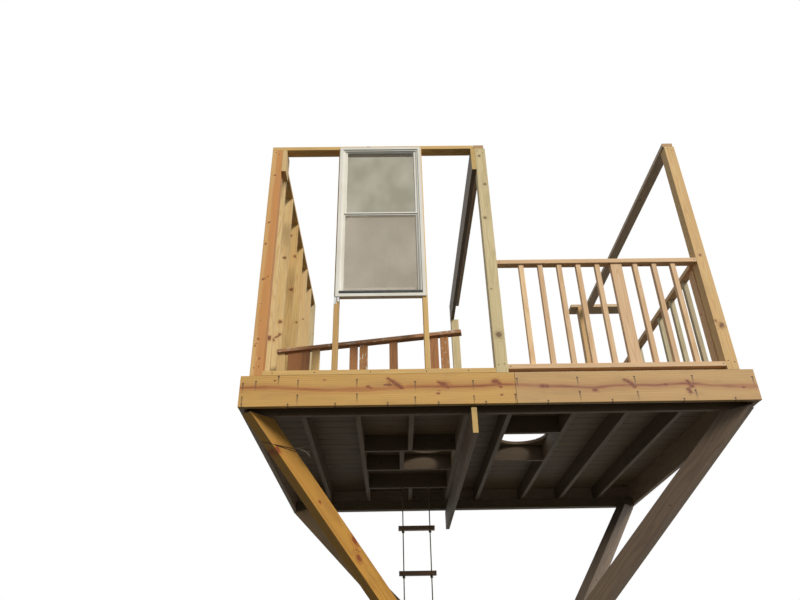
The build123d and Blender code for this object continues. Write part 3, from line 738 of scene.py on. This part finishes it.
FINE = {"step": 0.014, "row_step": 0.014}
SPECS = {
    "rim_front": {
        **FINE,
        "knots": RIM_KNOTS,
        "drawn": 1.5,
        "nails": RIM_NAILS,
        "streak": HEART_LINE,
        "pith": (128.0, 4.0),
        "each": [{"tone": 0.75, "fade": 0.0}, {"tone": 0.55, "fade": 0.1}],
    },
    "rim_sides": {"pith": (100.0, 52.0), "tone": 0.2, "fade": 0.35},
    "rim_back": {"tone": 0.2, "fade": 0.4},
    "wall_studs_left": {
        "step": 0.02,
        "each": [
            {"knots": knots, "tone": tone, "fade": fade}
            for knots, tone, fade in zip(STUD_KNOTS, (0.9, 1.0, 0.4, 0.5, 0.8, 0.6), (0, 0, -0.1, -0.1, 0, 0))
        ],
    },
    "post_front_left": {**FINE, "knots": LEFT_POST_KNOTS, "pith": (76.0, 20.0), "tone": 0.6},
    "post_front_middle": {**FINE, "knots": MIDDLE_POST_KNOTS, "pith": (50.0, 130.0), "tone": 0.6},
    "post_front_right": {**FINE, "knots": RIGHT_POST_KNOTS, "pith": (40.0, -35.0), "tone": 0.6},
    "old_rail_cap": {"axes": np.array([OLD_RAIL, OLD_ACROSS, Z]), "tone": 0.84, "fade": 0.1},
    "old_rail_uprights": {
        "axes": np.array([Z, OLD_RAIL, OLD_ACROSS]),
        "each": [{"bare_and_lit": 1.0, "tone": 0.6}, {"bare_and_lit": 1.0, "tone": 0.7}]
        + [{"tone": tone} for tone in (0.3, 0.9, 0.4, 0.4, 0.95, 0.95)],
    },
    "old_rail_panel": {"axes": np.array([Z, OLD_RAIL, OLD_ACROSS]), "tone": 0.2},
    "brace_front_left": {
        **FINE,
        "axes": brace_axes((122.0, 141.0), LEFT_HOLE, 1680.0),
        "knots": BRACE_KNOTS,
        "drawn": 1.7,
        "pith": (92.0, -30.0),
        "tone": 0.7,
    },
    "brace_front_right": {"axes": brace_axes((3536.0, 141.0), RIGHT_HOLE, 1660.0), "fade": 0.3},
    "brace_back_left": {"axes": brace_axes((122.0, 2907.0), LEFT_HOLE, 1530.0)},
    "brace_back_right": {"axes": brace_axes((3536.0, 2907.0), RIGHT_HOLE, 1760.0), "fade": 0.4},
    # The trunk beam and the middle beam take the joists' dark colours as painted shade, their front cut ends
    # painted pale as lit ends
    "trunk_beam": {"tone": 0.3, "lit_end_pale": True},
    "beam_middle": {"tone": 0.9, "fade": 0.15, "lit_end_pale": True},
    "corner_block": {"tone": 0.8},
    # Low tones and greying of the top plates and the cross arm: painted shade of their undersides
    "top_plate_middle": {"tone": 0.1, "fade": 0.4},
    "top_plate_right": {"tone": 0.2, "fade": 0.4},
    "back_cross_arm": {"tone": 0.4, "fade": 0.2},
}
PLATES = (
    "sole_plate_front", "sole_plate_left", "top_plate_front", "top_plate_left", "top_plate_middle",
    "top_plate_right", "back_cross_arm", "window_studs",
)
TIMBER = {
    "rim_lumber": (RIM, ("rim_front", "rim_back", "rim_sides")),
    "joist_lumber": (JOIST, ("floor_joists", "trunk_trimmers", "trunk_headers", "cross_beams")),
    "brace_golden": (BRACE_GOLD, ("brace_front_left",)),
    "brace_brown": (BRACE_BROWN, ("brace_front_right", "brace_back_left", "brace_back_right")),
    "post_orange": (POST_ORANGE, ("post_front_left",)),
    "post_green": (POST_GREEN, ("post_front_middle", "post_back_left", "post_back_middle")),
    "post_tan": (POST_TAN, ("post_front_right", "post_porch_back")),
    "plate_lumber": (PLATE, PLATES),
    "stud_lumber": (STUD, ("corner_block", "wall_studs_left")),
    "rail_lumber": (RAIL, ("rails_front", "pickets_front", "rail_side", "rail_end_stud")),
    "old_wood": (OLD, ("old_rail_cap", "old_rail_uprights", "old_rail_panel")),
    "rung_wood": (RUNG, ("ladder_rungs",)),
}
# Nodes of another wood than the rest of their slot. The middle beam, of stud lumber, and the trunk beam take
# the joists' colours, painted dark as painted shade
OTHER_WOOD = {
    "trunk_beam": ("joist_lumber", JOIST),
    "beam_middle": ("stud_lumber", JOIST),
    "pickets_side": ("rail_lumber", PICKET),
}


def add_timber():
    """Each wooden CAD node as boards of its own grain, knots and tone."""
    timbers = {node: (slot, made) for slot, (made, nodes) in TIMBER.items() for node in nodes}
    for node, (slot, material) in {**timbers, **OTHER_WOOD}.items():
        boards = boards_from(node, SPECS.get(node, {}))
        belongs(add_boards(node + "_grained", boards, material), slot, node)


# The decking: its ends and sides, and its boards' thickness, width, gaps, first width and least width

DECK_FRONT, DECK_BACK, DECK_LEFT, DECK_RIGHT = 38.0, 3010.0, 38.0, 3620.0
DECKING, DECK_BOARD, DECK_GAP, FIRST_BOARD, NARROWEST = 25.0, 140.0, 4.5, 103.0, 20.0


def decking_rows():
    """Front and back edge of each decking board, with a gap between each two."""
    front = DECK_FRONT
    while front < DECK_BACK - NARROWEST:
        back = min(front + (FIRST_BOARD if front == DECK_FRONT else DECK_BOARD), DECK_BACK)
        yield front, back
        front = back + DECK_GAP


def add_decking():
    """Decking across the joists, cut to a circle at each round hole.

    A board that a circle crosses is parted at the circle's front and back, where its width
    reaches beyond them. The inner strip then stops at x = centre ± sqrt(radius² − (y − centre)²).
    """
    axes, boards = np.array([X, Y, Z]), []
    for front, back in decking_rows():
        seams = [front, back]
        for _, y in HOLES:
            seams += [e for e in (y - HOLE_RADIUS, y + HOLE_RADIUS) if front < e < back]
        seams.sort()
        tone = RNG.uniform(0, 1)
        for low, high in zip(seams[:-1], seams[1:]):
            middle = (low + high) / 2
            eases = (3.0 if low == front else 0.0, 3.0 if high == back else 0.0)
            holes = [h for h in HOLES if abs(middle - h[1]) < HOLE_RADIUS]
            stops = [DECK_LEFT, *[h for hole in holes for h in (hole, hole)], DECK_RIGHT]
            for start, end in zip(stops[::2], stops[1::2]):
                boards.append(deck_strip(axes, low, high, start, end, eases, tone))
    belongs(add_boards("decking_boards", boards, DECK), "deck_lumber", "deck_boards")


def deck_strip(axes, low, high, start, end, eases, tone):
    """One run of a decking board between two stops, each an x or a hole."""

    def stop(limit, side):
        if not isinstance(limit, tuple):
            return lambda a, b: np.full(len(a), (limit - ORIGIN[0]) * MM)

        def circle(a, b):
            off = a - (limit[1] - ORIGIN[1]) * MM
            half = np.sqrt(np.maximum(0.0, (HOLE_RADIUS * MM) ** 2 - off**2))
            return (limit[0] - ORIGIN[0]) * MM + side * half

        return circle

    reach = [s[0] if isinstance(s, tuple) else s for s in (start, end)]
    corners = place([(reach[0], low, -DECKING), (reach[1], high, 0.0)])
    rounded = isinstance(start, tuple) or isinstance(end, tuple)
    spec = {"tone": tone, "row_step": 0.12, "step": 0.004 if rounded else 0.02}
    return timber(axes, corners[0], corners[1], spec, stop(start, 1), stop(end, -1), eases)


# Nails and bolts


def revolved(centres, axes, profile, turns):
    """Many equal turned pieces: P = centre + h·axis + r·(cos t·u + sin t·v), (r, h) along the profile."""
    centres, axes = np.asarray(centres, float), np.asarray(axes, float)
    r, h = np.array(profile, float).T[:, :, None, None]
    points = centres[:, None, None] + h * axes[:, None, None] + r * directions_round(axes, turns)[:, None]
    starts = np.arange(len(centres))[:, None, None] * len(r) * turns
    faces = (grid_faces(len(r), turns) + starts).reshape(-1, 4)
    return points.reshape(-1, 3), [faces]


# Joists that the decking is nailed to, by their x, how far inside a board's edges its nails go and how
# far outside a hole, and what covers the decking and hides the nails under it: from x, to x, from y, to y
NAILED_JOISTS, NAIL_INSET, HOLE_MARGIN = (406, 813, 1626, 1954, 2438, 2845, 3251), 25.0, 12.0
COVERED = ((0, 1910, 0, 95), (55, 155, 0, 3048), (3470, 3658, 0, 100), (0, 3658, 2985, 3048))
# Nails through the posts' feet and tops, the rails' ends and the front sole plate: x and z
POST_NAILS = [(1840, 60), (1880, 66), (3500, 70), (3545, 58), (85, 62), (120, 70)]
POST_NAILS += [(1835, 2110), (1885, 2085), (3505, 2112), (3540, 2095), (90, 2112), (120, 2090)]
RAIL_NAILS = [(x, z) for x in (1925, 3460) for z in (947, 46)]
PLATE_NAILS = [(x, 19) for x in (220, 520, 920, 1320, 1620)]


def add_nails():
    """Nail heads in the rim, on the decking, and through plates, rails and posts: low domes 9 mm across."""
    spots = [(nail[:3], -Y) for nail in RIM_NAILS]
    for front, back in decking_rows():
        for middle in (front + NAIL_INSET, back - NAIL_INSET):
            for joist in NAILED_JOISTS:
                x, y = joist + RNG.uniform(-5, 5), middle + RNG.uniform(-3, 3)
                covered = any(a < x < b and c < y < d for a, b, c, d in COVERED)
                reach = min(math.hypot(x - hole[0], y - hole[1]) for hole in HOLES)
                if reach > HOLE_RADIUS + HOLE_MARGIN and not covered:
                    spots.append(((x, y, 0.0), Z))
    spots += [((x, 0, z), -Y) for x, z in POST_NAILS + RAIL_NAILS + PLATE_NAILS]
    centres = place([s[0] for s in spots])
    dome = [(0.0, 0.0), (4.6, 0.0), (4.4, 0.7), (3.0, 1.2), (1.2, 1.4), (0.0, 1.45)]
    part = revolved(centres, [s[1] for s in spots], np.array(dome) * MM, 8)
    add_parts("nail_heads", [part], NAIL, "bolt_steel", smooth=True)


def add_trunk_bolts():
    """Lag bolts with washers in place of the CAD ones: a shank, a washer, a six-sided head with a chamfer."""
    parts = []
    for points in solids_of("trunk_bolts"):
        low, high = points.min(0), points.max(0)
        centre = np.array([low[0], (low[1] + high[1]) / 2, (low[2] + high[2]) / 2])
        shank = [(0, 0.2), (9.5, 0.2), (9.5, 38), (25, 38), (25, 41), (24, 42), (0, 42)]
        parts.append(revolved([centre], [X], np.array(shank) * MM, 32))
        head = [(0, 42), (17.2, 42), (17.2, 51.5), (14.4, 53.8), (0, 54)]
        parts.append(revolved([centre], [X], np.array(head) * MM, 6))
    add_parts("trunk_bolts_turned", parts, STEEL, "bolt_steel", "trunk_bolts")


# The window

WINDOW_X, WINDOW_Z = (647.0, 1343.0), (640.0, 2155.0)
FRAME_X, FRAME_Z = (677.0, 1313.0), (670.0, 2137.0)
SASH_X, SASH_Z, SASH_LAP = (695.0, 1295.0), (688.0, 2119.0), 9.0
MEETING_RAIL_Z = WINDOW_Z[0] + (WINDOW_Z[1] - WINDOW_Z[0]) * 0.536
# How far back each sash lies, and how much deeper the lower one's foot is
UPPER_BACK, LOWER_BACK, LOWER_FOOT = 6.0, 37.0, 45.0
SCREEN_TOP, SCREEN_BACK = 1441.0, 16.0
SILL_NOSE_Z, SILL_NOSE_INSET = 674.0, 24.0
# Sections of the window's parts: how far they reach inwards, and y
FLANGE = [(0, -1), (0, -9), (2, -12), (26, -12), (29, -9), (29, -3), (36, -3), (40, -2), (40, 0), (0, 0)]
FRAME = [(0, 0), (7, 0), (9, 3), (14, 3), (18, 6), (18, 79), (16, 80), (0, 80)]
SASH = [(0, 0), (11, 0), (12, 1), (13, 5), (17, 8), (18, 10), (18, 28), (16, 30), (0, 30)]
SCREEN_RIM = [(0, 0), (1, -2), (9, -2), (11, 0), (11, 4), (0, 4)]
SILL_NOSE = [(0, 0), (0, -9), (1.8, -11.5), (18, -11.5), (19.8, -10), (19.8, 0)]


def framed(x, z, profile, back=0.0, foot=0.0):
    """A profile of (inwards, y) points carried round a rectangle with mitred corners.

    P(corner, t) = corner moved inwards by the profile's first number on both sides, at its
    second, moved back, as y. foot adds to the reach inwards at the bottom, in proportion.
    """
    d, y = np.array(profile, float).T
    lift = z[0] + d * (1 + foot / d.max())
    corners = [(x[0] + d, lift), (x[0] + d, z[1] - d), (x[1] - d, z[1] - d), (x[1] - d, lift)]
    points = np.stack([np.stack([cx, y + back, cz], -1) for cx, cz in corners])
    return place(points.reshape(-1, 3)), [grid_faces(5, len(d)) % (4 * len(d))]


def add_window():
    """Vinyl window: nailing flange, stepped frame, two sashes with glazing beads, and the sill's nose."""
    upper = framed(SASH_X, (MEETING_RAIL_Z - SASH_LAP, SASH_Z[1]), SASH, UPPER_BACK)
    lower = framed(SASH_X, (SASH_Z[0], MEETING_RAIL_Z + SASH_LAP), SASH, LOWER_BACK, LOWER_FOOT)
    frame_parts = [framed(WINDOW_X, WINDOW_Z, FLANGE), framed(FRAME_X, FRAME_Z, FRAME)]
    for node, parts in (
        ("window_frame", frame_parts), ("window_upper_sash", [upper]), ("window_lower_sash", [lower])
    ):
        add_parts(node + "_moulded", parts, VINYL, "window_vinyl", node)
    rise, y = np.array(SILL_NOSE).T
    stops = (WINDOW_X[0] + SILL_NOSE_INSET, WINDOW_X[1] - SILL_NOSE_INSET)
    outlines = [place(np.stack([np.full(len(y), x), y, SILL_NOSE_Z + rise], -1)) for x in stops]
    add_parts("window_sill_groove", [prism(outlines)], GASKET, "window_vinyl")


def woven_screen():
    """Fibreglass insect screen: dull grey threads both ways with open squares between them.

    The real threads lie 1.4 mm apart. That is too fine to show, so they are drawn 9 mm apart,
    and a little of their grey is spread over the open squares.
    """
    material = bpy.data.materials.new("fibreglass_insect_screen")
    add = node_adder(material)
    where = add("TexCoord", output="Object")
    threads = []
    for axis in "XZ":
        way = add("SeparateXYZ", [where], axis)
        turned = add("Math MULTIPLY", [way, math.pi / 0.009])
        wave = add("Math SINE", [turned])
        wave = add("Math ABSOLUTE", [wave])
        threads.append(add("MapRange", [wave, 0.3, 0.8, 1.0, 0.0]))
    woven = add("Math MAXIMUM", threads)
    dust = add("TexNoise", {"Vector": where, "Scale": 5.0, "Detail": 3.0})
    dusty = add("MapRange", [dust, 0.35, 0.65, 0.22, 0.34])
    cover = add("Math MULTIPLY_ADD", [woven, 0.3, dusty])
    surface = {"Base Color": "#B7A899", "Roughness": 0.8, "Alpha": cover}
    add("OutputMaterial", [add("BsdfPrincipled", surface)])
    return material


def add_screen():
    """Insect screen before the lower sash: a flat sheet in a thin rolled frame."""
    rim = framed(SASH_X, (SASH_Z[0], SCREEN_TOP), SCREEN_RIM, SCREEN_BACK)
    add_parts("window_screen_frame", [rim], VINYL, "window_vinyl")
    spans = ((SASH_X[0] + 10, SASH_X[1] - 10), (SASH_Z[0] + 10, SCREEN_TOP - 10))
    x, z = np.meshgrid(*(np.linspace(low, high, 9) for low, high in spans))
    sheet = np.stack([x, np.full_like(x, SCREEN_BACK + 1.5), z], -1).reshape(-1, 3)
    net = (place(sheet), [grid_faces(9, 9, closed=False)])
    add_parts("window_screen_net", [net], woven_screen(), "window_glass")


def add_panes():
    """The two panes, each a sheet with ground edges."""
    parts = []
    for points in solids_of("window_panes"):
        low, high = points.min(0) + 0.0005, points.max(0) - 0.0005
        outline, _ = section(low[[0, 2]], high[[0, 2]], (0.0015, 0.0015), 0.2)
        levels = (low[1] + 0.0005, high[1] - 0.0005)
        parts.append(prism([np.insert(outline, 1, y, axis=1) for y in levels]))
    panes = add_parts("window_panes_ground", parts, GLASS, "window_glass", "window_panes")
    # Sunlight passes the clear panes and reaches the studs behind them
    panes.visible_shadow = False


# The rope ladder and small things

ROPE_PLACES, ROPE_Y, ROPE_TOP, ROPE_END = (1160.0, 1420.0), 2355.0, -71.7, -1428.0
ROPE_DIAMETER, ROPE_LAY = 12.0, 42.0
RUNG_LEVELS, KNOT_BELOW_RUNG = (-563.0, -973.0, -1383.0), 32.0
# The brace's tie wire: how far down the brace it lies, half its turns' width and depth, its radius
WIRE_DOWN, WIRE_WIDE, WIRE_DEEP, WIRE_RADIUS = 257.0, 73.5, 48.0, 1.8


def route_line(route):
    """Points of the smooth NURBS line that has the route's points as its control points."""
    curve = bpy.data.curves.new("route", "CURVE")
    curve.dimensions = "3D"
    spline = curve.splines.new("NURBS")
    spline.points.add(len(route) - 1)
    spline.points.foreach_set("co", np.column_stack([route, np.ones(len(route))]).ravel())
    spline.order_u = 3
    spline.use_endpoint_u = True
    spline.resolution_u = 8
    holder = add_object("route", curve)
    mesh = bpy.data.meshes.new_from_object(holder)
    line = np.array([v.co for v in mesh.vertices])
    bpy.data.objects.remove(holder)
    bpy.data.meshes.remove(mesh)
    return line


def tube(line, radius, turns=12, strands=0, lay=0.0, closed=False):
    """A tube along a line: P(s, t) = line(s) + r(s, t)·(cos t·u + sin t·v).

    With strands, r swells and dips that many times round the tube, and the swells turn once
    in each lay's length, as laid rope does.
    """
    if not closed:
        steps = np.linalg.norm(np.diff(line, axis=0), axis=1)
        reach = np.concatenate([[0], np.cumsum(steps)])
        rows = max(len(line), int(reach[-1] / (lay / 12)) + 1) if strands else len(line)
        at = np.linspace(0, reach[-1], rows)
        line = np.stack([np.interp(at, reach, line[:, i]) for i in range(3)], -1)
        heading = np.gradient(line, axis=0)
    else:
        at = np.zeros(len(line))
        heading = np.roll(line, -1, axis=0) - np.roll(line, 1, axis=0)
    heading /= np.linalg.norm(heading, axis=1, keepdims=True)
    r = np.full((len(line), turns), radius)
    if strands:
        turned = whole_turn(turns) - (2 * np.pi * at / lay)[:, None]
        r *= 0.88 + 0.12 * np.cos(strands * turned)
    points = line[:, None] + r[..., None] * directions_round(heading, turns)
    faces = [grid_faces(len(line) + closed, turns) % (len(line) * turns)]
    if not closed:
        ring = np.arange(turns)[None, :]
        faces += [ring[:, ::-1], ring + (len(line) - 1) * turns]
    return points.reshape(-1, 3), faces


def add_ladder():
    """Two laid ropes that hang from the hindmost header, a knot under each rung end."""
    t = whole_turn(60)
    trefoil = np.stack(
        [np.sin(t) + 2 * np.sin(2 * t), np.cos(t) - 2 * np.cos(2 * t), -2.1 * np.sin(3 * t)], -1
    )
    for side, x in zip(("left", "right"), ROPE_PLACES):
        line = route_line(place([(x, ROPE_Y, z) for z in np.linspace(ROPE_TOP, ROPE_END, 7)]))
        points, faces = tube(line, ROPE_DIAMETER / 2 * MM, 18, 3, ROPE_LAY * MM)
        rope = add_mesh(f"ladder_rope_{side}_laid", points, faces, ROPE, smooth=True)
        belongs(rope, "ladder_rope", f"ladder_rope_{side}")
        middles = [place((x, ROPE_Y, level - KNOT_BELOW_RUNG)) for level in RUNG_LEVELS]
        tied = [tube(middle + trefoil * 3.1 * MM, 5.6 * MM, 10, closed=True) for middle in middles]
        name = f"ladder_knots_{side}_tied"
        knots = add_parts(name, tied, ROPE, "ladder_rope", "ladder_knots", smooth=True)


def add_tie_wire():
    """Two turns of wire round the left brace near its top, and a frayed string caught in them.

    A turn is a rounded rectangle, a = cos t and b = sin t to the power 0.3, tilted along the
    brace. The string's fibres wave as y = sin of their length and spread out like a fan.
    """
    axes = SPECS["brace_front_left"]["axes"]
    centre = place((122.0, 141.0, CROSS_BEAM_BOTTOM)) + axes[0] * WIRE_DOWN * MM
    t, turns = whole_turn(72), []
    for lean, shift in ((1.05, -0.006), (1.25, 0.008)):
        a = np.sign(np.cos(t)) * np.abs(np.cos(t)) ** 0.3 * WIRE_WIDE * MM
        b = np.sign(np.sin(t)) * np.abs(np.sin(t)) ** 0.3 * WIRE_DEEP * MM
        line = centre + a[:, None] * axes[1] + b[:, None] * axes[2]
        line += (a * lean + b * 0.5 + shift)[:, None] * axes[0]
        turns.append(tube(line, WIRE_RADIUS * MM, 8, closed=True))
    add_parts("brace_tie_wire", turns, NAIL, "bolt_steel", smooth=True)
    caught = centre + 0.07 * axes[1] + 0.05 * axes[2] + 0.085 * axes[0]
    s, fibres = np.linspace(0, 1, 14)[:, None], []
    for number in range(7):
        spread = RNG.uniform(-1, 1, 3) * (0.012, 0.02, 0.018)
        wave = 0.006 * np.sin(9 * s + number) * [0.0, 0.6, 1.0]
        line = caught + s * RNG.uniform(0.07, 0.13) * X + (s * 3.0) * spread * s + wave * s
        line += s**2 * [0.0, 0.0, -0.022]
        fibres.append(tube(line, 0.9 * MM, 5))
    add_parts("brace_frayed_string", fibres, STRING, "window_vinyl", smooth=True)


def add_tape():
    """Two torn tabs of white tape under the window's left corner: sheets that wave as they hang."""
    parts = []
    for x, z, wide, long, phase in ((640.0, 646.0, 20.0, 62.0, 0.4), (664.0, 644.0, 16.0, 44.0, 2.0)):
        across = np.linspace(0, 1, 8)[None, :]
        down = np.linspace(0, 1, 14)[:, None]
        px = x + wide * (across - 0.5 * down * np.sin(phase + 3 * down) * 0.4)
        py = -5.5 + 4.5 * np.sin(phase + 7 * down + 2.0 * across) * down
        pz = z - long * down * (1 + 0.12 * np.sin(9 * across + phase))
        sheet = np.stack(np.broadcast_arrays(px, py, pz), -1)
        parts.append((place(sheet.reshape(-1, 3)), [grid_faces(14, 8, closed=False)[:, ::-1]]))
    add_parts("window_tape_tabs", parts, TAPE, "window_vinyl", smooth=True)


add_camera()
add_light()
add_floor()
add_timber()
add_ladder()
add_decking()
add_window()
add_screen()
add_panes()
add_nails()
add_trunk_bolts()
add_tie_wire()
add_tape()
